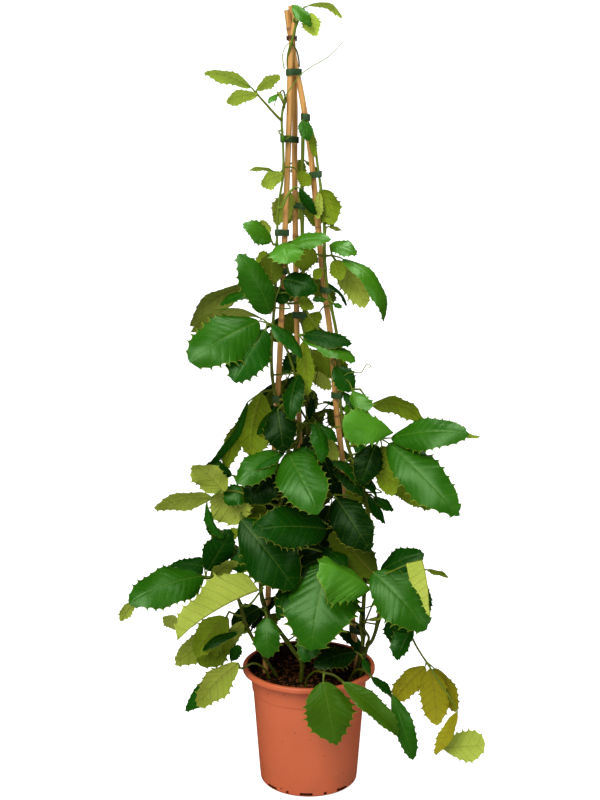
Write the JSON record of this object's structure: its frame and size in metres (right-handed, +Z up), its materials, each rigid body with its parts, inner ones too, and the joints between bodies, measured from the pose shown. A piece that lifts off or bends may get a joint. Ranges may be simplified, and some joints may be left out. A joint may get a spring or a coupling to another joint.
{
  "type": "potted chestnut vine",
  "caption": "Climbing vine with large toothed glossy leaves, tied up a pyramid of bamboo canes and rooted in a terracotta-coloured round nursery pot full of soil.",
  "frame": {"origin": "middle of the pot's foot, on the surface it stands on", "axes": "+Z up along the canes, -Y towards the viewer of the front, +X to the viewer's right"},
  "size_m": [0.5344, 0.4077, 1.199],
  "materials": {
    "terracotta_plastic": "satin moulded plastic, lightly scuffed",
    "potting_soil": "moist dark crumbly peat",
    "bamboo": "dry bamboo with darker node rings",
    "foliage": "living leaves, glossy above and matt yellowish green below, on olive stems",
    "tie_tape": "dark green plant tape"
  },
  "bodies": {
    "root": {"pot": "terracotta_plastic", "soil": "potting_soil", "cane_left": "bamboo", "cane_right": "bamboo", "cane_back": "bamboo", "vine_left": "foliage", "vine_right": "foliage", "vine_back": "foliage", "shoot_left": "foliage", "shoot_right": "foliage", "shoot_front": "foliage", "shoot_low_left": "foliage", "shoot_low_right": "foliage", "band_right_1": "tie_tape", "band_right_2": "tie_tape", "band_right_3": "tie_tape", "band_right_4": "tie_tape", "band_left_1": "tie_tape", "band_left_2": "tie_tape", "band_left_3": "tie_tape", "band_left_4": "tie_tape", "band_back_1": "tie_tape", "band_back_2": "tie_tape", "band_top_1": "tie_tape", "band_top_2": "tie_tape"}
  },
  "joints": []
}
